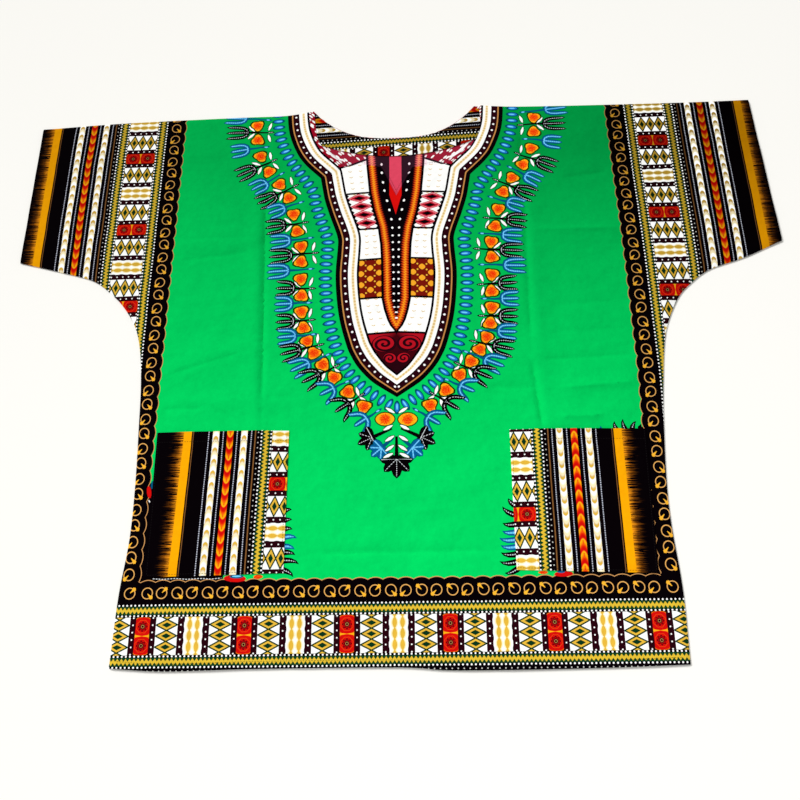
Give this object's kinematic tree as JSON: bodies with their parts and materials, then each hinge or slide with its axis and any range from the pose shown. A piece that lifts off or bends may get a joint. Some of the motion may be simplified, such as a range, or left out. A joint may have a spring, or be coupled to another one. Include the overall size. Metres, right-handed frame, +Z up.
{
  "type": "dashiki shirt",
  "caption": "Loose cotton dashiki shirt laid flat, with wide sleeves cut in one with the body, a slit neckline and patch pockets, in an ornamental border print.",
  "frame": {"origin": "centre of the shirt's outline on the floor that it lies on", "axes": "+X towards the right in plan, along the sleeves; +Y from the hem to the neck; +Z up from the floor through the back, then the front"},
  "size_m": [1.086, 0.8202, 0.0081],
  "materials": {
    "panel_cloth": "printed plain-weave cotton, green ground with black, gold and red borders",
    "border_cloth": "printed plain-weave cotton, black with gold, white and red stripes",
    "sewing_thread": "black cotton sewing thread"
  },
  "bodies": {
    "root": {"front_panel": "panel_cloth", "back_panel": "panel_cloth", "back_neck_facing": "border_cloth", "left_pocket": "border_cloth", "right_pocket": "border_cloth"}
  },
  "joints": []
}
